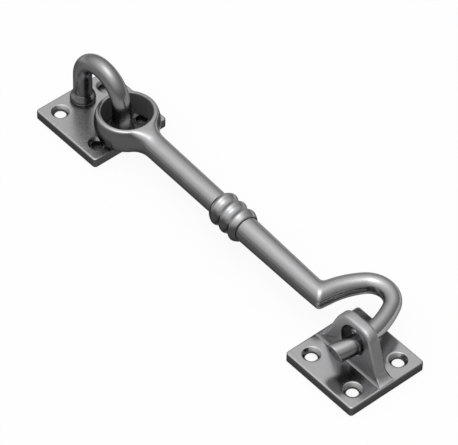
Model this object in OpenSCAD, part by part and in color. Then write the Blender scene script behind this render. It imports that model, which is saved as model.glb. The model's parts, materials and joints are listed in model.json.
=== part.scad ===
// Hook and eye latch: a cabin hook with a staple on one square plate and an upright keep on another.
// X runs along the arm, Y across it, Z out of the mounting plane. Millimetres and degrees.
// The origin is the middle of the staple plate on the mounting plane.

/* [Plates] */
// Side of each square plate
plate_side = 33; // [32:0.5:40]
// Height of a plate's rim above the mounting plane
plate_t = 3.8; // [3.4:0.1:6]
// Radius of a plate's corners, seen from above
plate_corner_r = 1.2; // [0.5:0.1:3]
// Bevel along a plate's top edges
plate_bevel = 0.6; // [0.2:0.1:1]
// Thickness of the skin over a plate's hollow back
plate_skin = 2; // [1.8:0.1:3]
// Width of the rim that rests on the mounting plane
plate_rim = 1.8; // [1:0.1:2]

/* [Screw holes] */
// Distance between screw holes, both ways
screw_pitch = 20.5; // [18:0.5:22]
// Diameter of a screw hole
screw_d = 4.3; // [3.5:0.1:5]
// Diameter of the countersink at the plate's top
screw_sink_d = 6.6; // [6:0.1:7.6]

/* [Staple] */
// Distance between the centres of the staple's legs
staple_span = 21.6; // [20:0.2:22]
// Middle of the staple from the middle of its plate, along the arm
staple_x = 0.6; // [0:0.1:0.8]
// Diameter of the staple's bar
staple_bar_d = 6.9; // [5:0.1:8]
// Straight height of a leg, from the plate's top to the bow
staple_leg_h = 12; // [10:0.2:20]
// Diameter of the foot around a leg
staple_foot_d = 9.4; // [8.6:0.1:10]
// Height of that foot, up to the bar
staple_foot_h = 3.2; // [1.6:0.1:4]

/* [Rivets] */
// Diameter of a tenon where it passes through a plate
tenon_d = 4.4; // [3:0.1:4.6]
// Gap around a tenon in its hole
tenon_gap = 0.05; // [0.02:0.01:0.1]
// Diameter of the riveted head under the skin
rivet_d = 5.2; // [5:0.1:5.4]
// Thickness of the riveted head
rivet_t = 0.9; // [0.5:0.1:1.2]

/* [Arm eye] */
// Diameter of the ball that the eye is cut from
eye_ball_d = 23.8; // [22:0.2:25]
// Height of the eye between its flat faces
eye_h = 10; // [8:0.2:11]
// Diameter of the eye's bore
eye_bore_d = 18.5; // [17.5:0.1:18.8]
// Radius of the blend from the eye to the shank
neck_r = 8; // [4:0.5:14]

/* [Arm] */
// Distance from the eye's centre to the middle of the collar
collar_x = 60.1; // [45:0.1:75]
// Distance from the eye's centre to the elbow
elbow_x = 107.4; // [98:0.1:130]
// Shank diameter at the eye
eye_shank_d = 8.9; // [7.5:0.1:9.1]
// Shank diameter on the eye's side of the collar
eye_shank_end_d = 8.4; // [7.5:0.1:9.1]
// Shank diameter on the hook's side of the collar
hook_shank_d = 9.4; // [7.5:0.1:9.6]
// Shank diameter at the elbow
elbow_d = 8.4; // [7:0.1:9.2]

/* [Collar] */
// Largest diameter of a bead
bead_d = 12.5; // [12:0.1:15]
// Distance from bead to bead
bead_pitch = 4.9; // [4.2:0.1:5]
// Radius of a bead's rounding
bead_r = 2.8; // [2.6:0.05:3]
// Number of beads
bead_count = 3; // [2:1:5]
// Diameter of the spigots inside the collar
spigot_d = 5; // [3:0.1:6]
// Gap around a spigot, and between the two ends
spigot_gap = 0.05; // [0.02:0.01:0.1]

/* [Hook] */
// Direction in which the bar leaves the elbow, from the arm's axis
hook_heading = 89; // [82:1:90]
// Radius of the rise from the elbow to the bend
rise_r = 31; // [26:1:40]
// Sweep of that rise
rise_sweep = 30; // [26:1:34]
// Radius of the bend, at the bar's centre
bend_r = 8.4; // [7.6:0.2:11]
// Sweep of the bend
bend_sweep = 118; // [112:1:124]
// Radius of the return
return_r = 38; // [30:1:60]
// Sweep of the return
return_sweep = 44.4; // [36:0.2:48]
// Bar diameter at the end of the bend
return_d = 6.3; // [5:0.1:6.8]
// Bar diameter at the tip
tip_d = 7; // [6:0.1:7.2]
// Slant of the tip's end against a square cut
tip_slant = 15; // [0:1:20]
// How far the tip stands out past the middle of the keep's upright
tip_len = 9.9; // [6:0.1:13]
// How far the elbow's outer corner keeps of a sharp mitre
elbow_sharp = 0.9; // [0.75:0.01:1]

/* [Keep] */
// Thickness of the upright at its foot
ear_t = 5.2; // [4:0.1:6]
// Thickness of the upright at its top
ear_top_t = 4.4; // [2.6:0.1:5]
// How far the upright's top stands back, away from the tip
ear_set_back = 1; // [0:0.1:1.6]
// Height of the upright above its plate
ear_h = 17.2; // [17:0.1:20]
// Radius of the upright's shoulders
shoulder_r = 5; // [2:0.1:5.4]
// Half width of the flat between the shoulders
shoulder_x = 3.8; // [2.8:0.1:5]
// Lean of the upright's flanks
flank_lean = 21.5; // [18:0.5:25]
// Radius of the blend from flank to foot
foot_r = 5; // [2:0.5:8]
// Height of the hook's hole above the plate
ear_hole_h = 9.6; // [9:0.1:10.2]
// Diameter of the hook's hole
ear_hole_d = 10.8; // [10.6:0.1:11.2]
// Chamfer around that hole
ear_hole_chamfer = 0.5; // [0.2:0.1:0.8]
// Distance between the upright's two tenons
ear_tenon_pitch = 16; // [12:0.5:18]

/* [Pose] */
// Gap between the loose arm and what it lies on
seat_gap = 0.3; // [0.2:0.05:0.5]
// Eye centre from the staple's near leg, along the arm
eye_play_x = 1.6; // [0:0.1:2]
// Eye centre from the staple's near leg, across the arm
eye_play_y = 1.25; // [0:0.05:2]
// Turn of the arm at rest, seen from above
arm_yaw = -2.7; // [-5:0.05:0]
// Tip's offset from the middle of its hole, along the plate
tip_play_x = 1.4; // [0.2:0.1:1.5]

/* [Hidden] */
$fn = 96;
cut = 0.1;
overlap = 1;
ring_sides = 28;
degrees_per_ring = 4;
metal = [0.56, 0.56, 0.57];
dark_metal = [0.48, 0.48, 0.49];

recess_side = plate_side - 2 * plate_rim;
recess_depth = plate_t - plate_skin;
sink_depth = (screw_sink_d - screw_d) / 2;
staple_spring_z = plate_t + staple_leg_h;
ear_foot_w = plate_side - 2 * plate_bevel;

// The neck's blend circle touches the ball and the shank in the arm's plane.
ball_r = eye_ball_d / 2;
neck_y = eye_shank_d / 2 + neck_r;
neck_x = sqrt(pow(ball_r + neck_r, 2) - pow(neck_y, 2));
neck_touch_y = neck_y * ball_r / (ball_r + neck_r);

collar_len = bead_count * bead_pitch;
collar_start = collar_x - collar_len / 2;
collar_end = collar_x + collar_len / 2;

// The hook's plan is three arcs that turn clockwise, each starting where the last one ends.
function arc_end(p, from, to, r) = [p.x + r * (sin(from) - sin(to)), p.y + r * (cos(to) - cos(from))];
rise_end_heading = hook_heading - rise_sweep;
bend_end_heading = rise_end_heading - bend_sweep;
tip_heading = bend_end_heading - return_sweep;
elbow_point = [elbow_x, 0];
rise_end = arc_end(elbow_point, hook_heading, rise_end_heading, rise_r);
bend_end = arc_end(rise_end, rise_end_heading, bend_end_heading, bend_r);

// The tip lies in the keep's hole where the return passes the middle of the upright.
seat_heading = tip_heading + tip_len / return_r * 180 / PI;
seat_point = arc_end(bend_end, bend_end_heading, seat_heading, return_r);
tip_lean = abs(seat_heading + 90 + arm_yaw);
tip_side = tip_play_x + ear_t / 2 * tan(tip_lean);
seat_d = tip_d + (return_d - tip_d) * tip_len / (return_r * return_sweep * PI / 180);
tip_room = (ear_hole_d - seat_d) / 2 - seat_gap;
tip_drop = sqrt(max(0, pow(tip_room, 2) - pow(tip_side, 2)));
tip_z = plate_t + ear_hole_h - tip_drop;

// The eye lies on the staple plate and the tip on its hole, which tilts the arm a little.
eye_face_r = sqrt(pow(ball_r, 2) - pow(eye_h / 2, 2));
eye_low_z = plate_t + seat_gap + eye_h / 2;
first_pitch = asin((tip_z - eye_low_z) / seat_point.x);
eye_z = eye_low_z + eye_face_r * sin(abs(first_pitch));
arm_pitch = asin((tip_z - eye_z) / seat_point.x);
eye_x = staple_x + staple_span / 2 + eye_play_x;
eye_y = eye_play_y;
seat_reach = seat_point.x * cos(arm_pitch);
keep_x = eye_x + seat_reach * cos(arm_yaw) - seat_point.y * sin(arm_yaw) - tip_play_x;
keep_y = eye_y + seat_reach * sin(arm_yaw) + seat_point.y * cos(arm_yaw);

// A square with round corners
module rounded_square(side, r) {
    square([side, side - 2 * r], center = true);
    square([side - 2 * r, side], center = true);
    for (x = [-1, 1], y = [-1, 1])
        translate([x * (side / 2 - r), y * (side / 2 - r)])
            circle(r);
}

// A bar as long as the plate is wide, bevelled along both top edges
module bevelled_bar() {
    half = plate_side / 2;
    rotate([90, 0, 0])
        linear_extrude(plate_side + 2 * cut, center = true)
            polygon([
                [-half, 0],
                [half, 0],
                [half, plate_t - plate_bevel],
                [half - plate_bevel, plate_t],
                [-half + plate_bevel, plate_t],
                [-half, plate_t - plate_bevel]
            ]);
}

// A hollow-backed plate with four countersunk screw holes and two tenon holes
module plate(tenon_pitch, tenon_x) {
    difference() {
        intersection() {
            linear_extrude(plate_t)
                rounded_square(plate_side, plate_corner_r);
            bevelled_bar();
            rotate([0, 0, 90])
                bevelled_bar();
        }
        translate([0, 0, -cut])
            linear_extrude(recess_depth + cut)
                rounded_square(recess_side, plate_corner_r);
        for (x = [-1, 1], y = [-1, 1])
            translate([x * screw_pitch / 2, y * screw_pitch / 2, 0])
                screw_hole();
        for (x = [-1, 1])
            translate([tenon_x + x * tenon_pitch / 2, 0, 0])
                cylinder(h = plate_t + cut, d = tenon_d + 2 * tenon_gap);
    }
}

// A drilled and countersunk hole, as the tool that cuts it
module screw_hole() {
    cylinder(h = plate_t + cut, d = screw_d);
    translate([0, 0, plate_t - sink_depth])
        cylinder(h = sink_depth + cut, d1 = screw_d, d2 = screw_sink_d + 2 * cut);
}

// Tenons through the skin, with their riveted heads in the hollow back
module tenons(tenon_pitch) {
    for (x = [-1, 1])
        translate([x * tenon_pitch / 2, 0, recess_depth - rivet_t]) {
            cylinder(h = plate_skin + rivet_t + cut, d = tenon_d);
            cylinder(h = rivet_t, d = rivet_d);
        }
}

module staple_plate() {
    color(metal)
        plate(staple_span, staple_x);
}

// A round bar bent to a bow, on two spread feet
module staple() {
    color(dark_metal)
        translate([staple_x, 0, 0]) {
            translate([0, 0, staple_spring_z])
                rotate([90, 0, 0])
                    rotate_extrude(angle = 180)
                        translate([staple_span / 2, 0])
                            circle(d = staple_bar_d);
            for (x = [-1, 1])
                translate([x * staple_span / 2, 0, plate_t]) {
                    cylinder(h = staple_leg_h, d = staple_bar_d);
                    cylinder(h = staple_foot_h / 2, d = staple_foot_d);
                    translate([0, 0, staple_foot_h / 2])
                        cylinder(h = staple_foot_h / 2, d1 = staple_foot_d, d2 = staple_bar_d);
                }
            tenons(staple_span);
        }
}

// Carries what is built along the arm's own X to its place at rest
module arm_place() {
    translate([eye_x, eye_y, eye_z])
        rotate([0, -arm_pitch, arm_yaw])
            children();
}

// A spigot of the arm's two bars, from one of the collar's ends to its middle
module spigot(from, to) {
    translate([from, 0, 0])
        rotate([0, 90, 0])
            cylinder(h = to - from, d = spigot_d);
}

// The blend from ball to shank, turned about the arm's axis
module neck() {
    rotate([0, 90, 0])
        rotate_extrude()
            difference() {
                square([neck_touch_y, neck_x]);
                translate([neck_y, neck_x])
                    circle(neck_r);
            }
}

// The flattened ball with its bore, the neck and the first half of the shank
module eye_shank() {
    color(metal)
        arm_place() {
            difference() {
                intersection() {
                    union() {
                        sphere(ball_r);
                        neck();
                    }
                    cube([4 * ball_r, 4 * ball_r, eye_h], center = true);
                }
                cylinder(h = eye_h + 2 * cut, d = eye_bore_d, center = true);
            }
            translate([neck_x, 0, 0])
                rotate([0, 90, 0])
                    cylinder(h = collar_start - neck_x, d1 = eye_shank_d, d2 = eye_shank_end_d);
            spigot(collar_start - overlap, collar_x - spigot_gap);
        }
}

// A sleeve of round beads over the joint between the arm's two bars
module bead_collar() {
    color(metal)
        arm_place()
            translate([collar_x, 0, 0])
                rotate([0, 90, 0])
                    difference() {
                        intersection() {
                            union() {
                                cylinder(h = collar_len, d = bead_d - 2 * bead_r, center = true);
                                for (i = [0 : bead_count - 1])
                                    translate([0, 0, (i - (bead_count - 1) / 2) * bead_pitch])
                                        rotate_extrude()
                                            translate([bead_d / 2 - bead_r, 0])
                                                circle(bead_r);
                            }
                            cylinder(h = collar_len, d = bead_d + 2 * cut, center = true);
                        }
                        cylinder(h = collar_len + 2 * cut, d = spigot_d + 2 * spigot_gap, center = true);
                    }
}

// One station of the hook's bar: place, heading, radius and stretch towards its inner and outer side
function station(p, heading, r, inner = 1, outer = 1) = [p, heading, r, inner, outer];

// The stations along one arc, after its start and up to its end
function arc_stations(p, from, to, r, d0, d1) =
    let (count = max(3, ceil((from - to) / degrees_per_ring)))
    [
        for (i = [1 : count])
            let (t = i / count, heading = from + (to - from) * t)
            station(arc_end(p, from, heading, r), heading, (d0 + (d1 - d0) * t) / 2)
    ];

// The points of one station's ring
function ring_points(s) = [
    for (j = [0 : ring_sides - 1])
        let (a = 360 * j / ring_sides, side = s[2] * cos(a) * (cos(a) > 0 ? s[3] : s[4]))
        [s[0].x - side * sin(s[1]), s[0].y + side * cos(s[1]), s[2] * sin(a)]
];

// The second half of the shank, the elbow and the hook, as one tapering round bar
module hook_bar() {
    rise_len = rise_r * rise_sweep;
    bend_len = bend_r * bend_sweep;
    bend_start_d = elbow_d + (return_d - elbow_d) * rise_len / (rise_len + bend_len);
    mitre = 1 / cos(hook_heading / 2);
    elbow_lead = 1;
    before_elbow = [elbow_x - elbow_d * tan(hook_heading / 2) / 2 - elbow_lead, 0];
    rise = arc_stations(elbow_point, hook_heading, rise_end_heading, rise_r, elbow_d, bend_start_d);
    first_clear = [for (s = rise) if (s[0].y > elbow_d / 2) s];
    back = arc_stations(bend_end, bend_end_heading, tip_heading, return_r, return_d, tip_d);
    tip_point = arc_end(bend_end, bend_end_heading, tip_heading, return_r);
    slant = 1 / cos(tip_slant);
    stations = concat(
        [
            station([collar_end, 0], 0, hook_shank_d / 2),
            station(before_elbow, 0, elbow_d / 2),
            station(elbow_point, hook_heading / 2, elbow_d / 2, mitre, mitre * elbow_sharp)
        ],
        first_clear,
        arc_stations(rise_end, rise_end_heading, bend_end_heading, bend_r, bend_start_d, return_d),
        [for (i = [0 : len(back) - 2]) back[i]],
        [station(tip_point, tip_heading + tip_slant, tip_d / 2, slant, slant)]
    );
    last = len(stations) - 1;
    n = ring_sides;
    polyhedron(
        points = [for (s = stations) each ring_points(s)],
        faces = concat(
            [[for (j = [0 : n - 1]) j]],
            [for (i = [0 : last - 1], j = [0 : n - 1]) [i * n + j, i * n + n + j, i * n + n + (j + 1) % n]],
            [for (i = [0 : last - 1], j = [0 : n - 1]) [i * n + j, i * n + n + (j + 1) % n, i * n + (j + 1) % n]],
            [[for (j = [0 : n - 1]) last * n + n - 1 - j]]
        )
    );
}

module hook_shank() {
    color(metal)
        arm_place() {
            hook_bar();
            spigot(collar_x + spigot_gap, collar_end + overlap);
        }
}

// The keep's own place on the mounting plane
module keep_place() {
    translate([keep_x, keep_y, 0])
        children();
}

module keep_plate() {
    color(metal)
        keep_place()
            plate(ear_tenon_pitch, 0);
}

// Outline of the upright, from its foot: shoulders, straight flanks and a spread foot
module ear_outline() {
    lift = ear_h - shoulder_r;
    touch_x = shoulder_x + shoulder_r * cos(flank_lean);
    touch_y = lift + shoulder_r * sin(flank_lean);
    flank_foot_x = touch_x + touch_y * tan(flank_lean);
    blend_x = flank_foot_x + foot_r * tan(45 - flank_lean / 2);
    intersection() {
        translate([-ear_foot_w / 2, 0])
            square([ear_foot_w, ear_h]);
        union() {
            polygon([
                [-flank_foot_x, 0],
                [flank_foot_x, 0],
                [touch_x, touch_y],
                [shoulder_x, lift],
                [shoulder_x, ear_h],
                [-shoulder_x, ear_h],
                [-shoulder_x, lift],
                [-touch_x, touch_y]
            ]);
            for (side = [-1, 1]) {
                translate([side * shoulder_x, lift])
                    circle(shoulder_r);
                scale([side, 1])
                    difference() {
                        polygon([
                            [flank_foot_x - overlap, 0],
                            [blend_x, 0],
                            [blend_x - foot_r * cos(flank_lean), foot_r - foot_r * sin(flank_lean)]
                        ]);
                        translate([blend_x, foot_r])
                            circle(foot_r);
                    }
            }
        }
    }
}

// The upright seen along the arm, thinner towards its top and set back there
module ear_side() {
    polygon([
        [-ear_t / 2, 0],
        [ear_t / 2, 0],
        [ear_set_back + ear_top_t / 2, ear_h],
        [ear_set_back - ear_top_t / 2, ear_h]
    ]);
}

// The upright with the hook's hole, riveted to its plate by two tenons
module keep_eye() {
    color(dark_metal)
        keep_place() {
            difference() {
                translate([0, 0, plate_t])
                    intersection() {
                        rotate([90, 0, 0])
                            linear_extrude(2 * ear_t, center = true)
                                ear_outline();
                        rotate([90, 0, 90])
                            linear_extrude(ear_foot_w + 2 * cut, center = true)
                                ear_side();
                    }
                translate([0, 0, plate_t + ear_hole_h])
                    rotate([90, 0, 0])
                        ear_hole();
            }
            tenons(ear_tenon_pitch);
        }
}

// The hook's hole, chamfered at both faces, as the tool that cuts it
module ear_hole() {
    ear_hole_t = ear_t + (ear_top_t - ear_t) * ear_hole_h / ear_h;
    hole_back = ear_set_back * ear_hole_h / ear_h;
    sink = 2 * ear_hole_chamfer + ear_t - ear_hole_t;
    cylinder(h = 2 * ear_t + 2 * cut, d = ear_hole_d, center = true);
    translate([0, 0, -hole_back])
        for (side = [0, 180])
            rotate([side, 0, 0])
                translate([0, 0, ear_hole_t / 2 - ear_hole_chamfer])
                    cylinder(h = sink, d1 = ear_hole_d, d2 = ear_hole_d + 2 * sink);
}

staple_plate();
staple();
eye_shank();
bead_collar();
hook_shank();
keep_plate();
keep_eye();
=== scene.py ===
"""Looks of a hook and eye latch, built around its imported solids.

Every piece is a surface worked out with numpy in millimetres, in the frame of the solids, and put into a mesh in
metres.
"""

import json

import bmesh
import bpy
import numpy as np
from mathutils import Matrix, Vector


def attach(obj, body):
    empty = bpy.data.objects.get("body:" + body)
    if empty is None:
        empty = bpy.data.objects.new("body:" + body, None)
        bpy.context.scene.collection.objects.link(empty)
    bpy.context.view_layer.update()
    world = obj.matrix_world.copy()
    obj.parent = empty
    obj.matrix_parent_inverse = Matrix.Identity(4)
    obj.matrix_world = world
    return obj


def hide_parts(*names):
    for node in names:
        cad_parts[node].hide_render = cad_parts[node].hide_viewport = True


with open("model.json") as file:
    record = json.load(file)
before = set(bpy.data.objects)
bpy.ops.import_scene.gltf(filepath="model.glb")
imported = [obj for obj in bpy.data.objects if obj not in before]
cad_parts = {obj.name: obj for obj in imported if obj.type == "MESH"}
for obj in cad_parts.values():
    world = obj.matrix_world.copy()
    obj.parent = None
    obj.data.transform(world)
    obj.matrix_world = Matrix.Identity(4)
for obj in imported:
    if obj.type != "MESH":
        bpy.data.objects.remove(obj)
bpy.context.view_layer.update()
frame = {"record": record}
MM = 0.001

bl_info = {
    "name": "Hook and eye latch",
    "version": (1, 0, 0),
    "blender": (4, 5, 0),
    "location": "3D View > Sidebar > Latch",
    "description": "Builds the pieces, finishes and stage of a hook and eye latch",
    "category": "Add Mesh",
}

# Middle of the keep plate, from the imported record, in millimetres.
MOUNTS = {m["name"]: m for m in frame["record"]["mounts"]}
KEEP_X, KEEP_Y = (1000 * v for v in MOUNTS["keep_plate_back"]["pos_m"][:2])
# Distance between the screw holes of either plate.
SCREW_PITCH = MOUNTS["staple_plate_screws"]["dims"]["spacing_x_mm"]
# Blue of a neutral tone against its red and green.
COOL = 1.015


# Properties


def length(name, description, mm):
    """A length property whose default is given in millimetres."""
    return bpy.props.FloatProperty(
        name=name, description=description, default=mm * MM, unit="LENGTH", subtype="DISTANCE", precision=5
    )


def angle(name, description, degrees):
    """An angle property whose default is given in degrees."""
    return bpy.props.FloatProperty(
        name=name, description=description, default=np.radians(degrees), unit="ROTATION", subtype="ANGLE"
    )


def share(name, description, value):
    """A plain number property."""
    return bpy.props.FloatProperty(name=name, description=description, default=value, precision=4)


def tone(name, description, value):
    """A neutral colour property whose default is one grey level."""
    grey = (value, value, value * COOL)
    return bpy.props.FloatVectorProperty(
        name=name, description=description, default=grey, size=3, subtype="COLOR", min=0, max=1
    )


class LatchPlateSizes(bpy.types.PropertyGroup):
    """Sizes of the two square plates."""

    side: length("Side", "Side of a square plate", 33)
    height: length("Height", "Height of a plate above the mounting plane", 3.8)
    corner: length("Corner", "Radius of a plate's corners, seen from above", 1.2)
    bevel: length("Bevel", "Width of the softened top edge", 0.6)
    skin: length("Skin", "Thickness of the skin over the hollow back", 2)
    rim: length("Rim", "Width of the rim that rests on the mounting plane", 1.8)
    screw_pitch: length("Screw pitch", "Distance between screw holes", SCREW_PITCH)
    screw: length("Screw hole", "Diameter of a screw hole", 4.3)
    sink: length("Countersink", "Diameter of a countersink at the top", 6.6)


class LatchStapleSizes(bpy.types.PropertyGroup):
    """Sizes of the staple and of the tenons that both uprights share."""

    span: length("Span", "Distance between the legs' centres", 21.6)
    offset: length("Offset", "Middle of the staple from the middle of its plate", 0.6)
    bar: length("Bar", "Diameter of the bar", 6.9)
    leg: length("Leg", "Straight height of a leg above the plate", 12)
    foot: length("Foot", "Diameter of a foot", 9.4)
    foot_widest: length("Foot's widest", "Height at which a foot is widest", 1.1)
    foot_height: length("Foot height", "Height of a foot, up to the bar", 5)
    tenon: length("Tenon", "Diameter of a tenon", 4.4)
    rivet: length("Rivet", "Diameter of a riveted head", 5.2)
    rivet_height: length("Rivet height", "Thickness of a riveted head", 0.9)


class LatchArmSizes(bpy.types.PropertyGroup):
    """Place of the arm, and sizes of its eye, shank and collar."""

    eye_x: length("Eye X", "Eye centre along the arm", 13)
    eye_y: length("Eye Y", "Eye centre across the arm", 1.25)
    eye_z: length("Eye Z", "Eye centre above the mounting plane", 9.36625)
    yaw: angle("Yaw", "Turn of the arm at rest, seen from above", -2.7)
    pitch: angle("Pitch", "Tilt of the arm at rest", 1.35727)
    ball: length("Ball", "Diameter of the ball that the eye is cut from", 23.8)
    eye_height: length("Eye height", "Height of the eye between its flat faces", 10)
    bore: length("Bore", "Diameter of the eye's bore", 18.5)
    neck: length("Neck", "Radius of the blend from eye to shank", 8)
    neck_reach: length("Neck reach", "How much farther the eye's flat top reaches along the neck", 2)
    collar: length("Collar", "Middle of the collar from the eye's centre", 60.1)
    shank_start: length("Shank at the eye", "Shank diameter at the eye", 8.9)
    shank_end: length("Shank at the collar", "Shank diameter on the eye's side of the collar", 8.4)
    hook_shank: length("Shank past the collar", "Shank diameter on the hook's side of the collar", 9.4)
    spigot: length("Spigot", "Diameter of the spigots inside the collar", 5)
    spigot_gap: length("Spigot gap", "Gap around a spigot and between the two ends", 0.05)
    bead: length("Bead", "Largest diameter of a bead", 12.5)
    bead_pitch: length("Bead pitch", "Distance from bead to bead", 4.9)
    bead_valley: length("Bead valley", "Diameter of the collar between its beads", 11.2)
    bead_end: length("Bead end", "Length over which the collar's ends are rounded", 1.3)
    bead_lean: angle("Bead lean", "Lean of the beads against the axis", 4.1)
    bead_side: angle("Bead side", "Side towards which the beads lean, from Y towards Z", 32)


class LatchHookSizes(bpy.types.PropertyGroup):
    """Sizes of the hook's bar."""

    elbow_x: length("Elbow", "Elbow from the eye's centre", 107.4)
    elbow: length("Elbow diameter", "Bar diameter at the elbow", 8.4)
    back_start: length("Return diameter", "Bar diameter at the end of the bend", 6.3)
    tip: length("Tip", "Bar diameter at the tip", 7)
    slant: angle("Slant", "Slant of the tip's end, seen from above", 15)
    overhang: angle("Overhang", "Slant of the tip's end, seen from the side", 15)
    slant_run: length("Slant run", "Length over which the bar takes up the slant", 4)
    heading: angle("Heading", "Direction in which the bar leaves the elbow", 89)
    rise: length("Rise", "Radius of the rise", 31)
    rise_sweep: angle("Rise sweep", "Sweep of the rise", 30)
    bend: length("Bend", "Radius of the bend", 8.4)
    bend_sweep: angle("Bend sweep", "Sweep of the bend", 118)
    back: length("Return", "Radius of the return", 38)
    back_sweep: angle("Return sweep", "Sweep of the return", 44.4)
    sharp: share("Sharpness", "How far the elbow's outer corner keeps of a sharp mitre", 0.9)
    round: length("Elbow rounding", "Length over which the elbow's corner is rounded", 1.5)


class LatchKeepSizes(bpy.types.PropertyGroup):
    """Sizes of the keep's upright."""

    foot: length("Foot", "Thickness at the foot", 5.2)
    top: length("Top", "Thickness at the top", 4.4)
    set_back: length("Set back", "How far the top stands back, away from the tip", 1)
    height: length("Height", "Height above the plate", 17.2)
    shoulder: length("Shoulder", "Radius of the shoulders", 5)
    shoulder_x: length("Flat", "Half width of the flat between the shoulders", 3.8)
    lean: angle("Lean", "Lean of the flanks", 21.5)
    foot_round: length("Foot blend", "Radius of the blend from flank to foot", 5)
    hole: length("Hole", "Diameter of the hook's hole", 10.8)
    hole_height: length("Hole height", "Height of the hole above the plate", 9.6)
    hole_edge: length("Hole edge", "Rounding of the hole's edges", 0.5)
    edge: length("Edge", "Rounding of the outer edges", 1.1)
    smooth: length("Smoothing", "Width over which the outline is smoothed", 1.6)
    weld: length("Weld", "Spread of the faces where they meet the plate", 0.8)
    weld_height: length("Weld height", "Height over which the faces spread", 2.6)
    tenon_pitch: length("Tenon pitch", "Distance between the two tenons", 16)


# Finish of each kind of piece: what has it, its polished tone, the tone of its flanks, which is painted shade, and
# its roughness.
FINISHES = {
    "plate": ("Staple plate", 0.46, 0.07, 0.28),
    "keep_plate": ("Keep plate", 0.46, 0.07, 0.19),
    "staple": ("Staple", 0.36, 0.14, 0.26),
    "keep": ("Upright", 0.47, 0.3, 0.34),
    "eye": ("Eye and first shank", 0.46, 0.09, 0.22),
    "arm": ("Hook and second shank", 0.46, 0.09, 0.22),
    "collar": ("Collar", 0.44, 0.06, 0.24),
}


def finish_properties():
    """Two tones and a roughness for each kind of piece."""
    made = {}
    for part, (label, polished, flank_shade, roughness) in FINISHES.items():
        made[part + "_polished"] = tone(label, "Polished tone, where the surface faces up", polished)
        # The flanks' tone is painted shade: flanks and undersides are darker than the metal, standing in for the dark
        # surroundings they reflect.
        made[part + "_flank_shade"] = tone(label + ": flanks", "Tone of the flanks and the underside", flank_shade)
        made[part + "_roughness"] = share(label + ": roughness", "Roughness of the metal", roughness)
    return made


class LatchFinish(bpy.types.PropertyGroup):
    """Tones and roughness of the satin cast metal."""

    __annotations__ = finish_properties()


class LatchStage(bpy.types.PropertyGroup):
    """Camera, floor and soft overhead light."""

    aim_x: length("Aim X", "Point that the camera looks at", 66.39)
    aim_y: length("Aim Y", "Point that the camera looks at", 2.55)
    azimuth: angle("Azimuth", "Turn of the camera about the object", 48.19)
    elevation: angle("Elevation", "Camera's height above the horizon", 46.42)
    roll: angle("Roll", "Roll of the camera", 1.42)
    distance: length("Distance", "Camera's distance from the point it looks at", 1328.8)
    lens: share("Lens", "Focal length on a 36 mm wide sensor, in millimetres", 301.9)
    floor: tone("Floor", "Colour of the floor", 0.93)
    white: share("White floor", "How far the floor shows plain white under the object's shadow", 0.92)
    light: share("Light", "Level of the overhead light", 1.0)
    dim: share("Dim side", "Level of the light that comes from the dimmer side", 0.55)


GROUPS = {
    "latch_plate": LatchPlateSizes,
    "latch_staple": LatchStapleSizes,
    "latch_arm": LatchArmSizes,
    "latch_hook": LatchHookSizes,
    "latch_keep": LatchKeepSizes,
    "latch_finish": LatchFinish,
    "latch_stage": LatchStage,
}


class Sizes:
    """A property group's lengths in millimetres, its angles in radians and its numbers as they are."""

    def __init__(self, group):
        for name, prop in group.bl_rna.properties.items():
            if prop.type == "FLOAT" and not prop.is_array:
                self.__dict__[name] = getattr(group, name) / (MM if prop.unit == "LENGTH" else 1)


# Surfaces

# Points nearer to each other than this are merged, and edges that turn by more than this are sharp.
MERGE = 0.002
SHARP = np.radians(40)
# Rounding of a riveted head, and of the edges of the eye's bore and the hook's tip.
RIVET_ROUND = 0.7
EDGE_ROUND = 0.45
# How far a staple's foot swells between the plate and its widest.
FOOT_SWELL = 0.9
# Rounding of a plate's lower edge, and the least radius that its corners are drawn in to.
PLATE_FOOT = 0.25
LEAST_CORNER = 0.1
# Steps outwards and down from a countersink's rim, over its softened edge, and the step at its lower end.
SINK_EDGE = ((0.15, 0), (0.03, 0.04), (-0.15, 0.21))
HOLE_EDGE = 0.1
# Half the angle of the eye's front, from which the neck runs out, the ring about the bore that the outer surfaces
# reach, and the flat beside the bore's lip.
EYE_FRONT = np.radians(50)
EYE_FLAT = 0.6
EYE_LIP = 0.08
# Beads of the collar.
BEADS = 3
# Length before the elbow at which the shank ends, and the largest share of it that the elbow's rounding takes.
ELBOW_LEAD = 2.5
ELBOW_SHARE = 0.85
# The upright's outline is smoothed fully at this part of its height above the welds, and nearly not at its foot.
SMOOTH_RISE = 1 / 3
LEAST_SMOOTH = 1e-6
# How far the tenons run on into the upright.
TENON_COVER = 0.1


def patch(points, close_rows=False, close_columns=True):
    """Points of a grid (rows, columns, 3), and the corners of its faces.

    A closed direction joins its last row or column to its first.
    """
    rows, columns = points.shape[:2]
    r = np.arange(rows if close_rows else rows - 1)[:, None]
    c = np.arange(columns if close_columns else columns - 1)[None, :]
    r1, c1 = (r + 1) % rows, (c + 1) % columns
    faces = [r * columns + c, r * columns + c1, r1 * columns + c1, r1 * columns + c]
    return points.reshape(-1, 3), np.stack(faces, axis=-1).reshape(-1, 4)


def new_mesh(name, patches):
    """One mesh of several patches in millimetres: shared seams and poles are merged and faces turned outwards."""
    counts = np.cumsum([0] + [len(p) for p, _ in patches])
    points = np.concatenate([p for p, _ in patches]) * MM
    faces = np.concatenate([f + start for (_, f), start in zip(patches, counts)])
    mesh = bpy.data.meshes.new(name)
    mesh.from_pydata(points.tolist(), [], faces.tolist())
    work = bmesh.new()
    work.from_mesh(mesh)
    bmesh.ops.remove_doubles(work, verts=work.verts, dist=MERGE * MM)
    bmesh.ops.recalc_face_normals(work, faces=work.faces)
    work.to_mesh(mesh)
    work.free()
    return mesh


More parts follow.
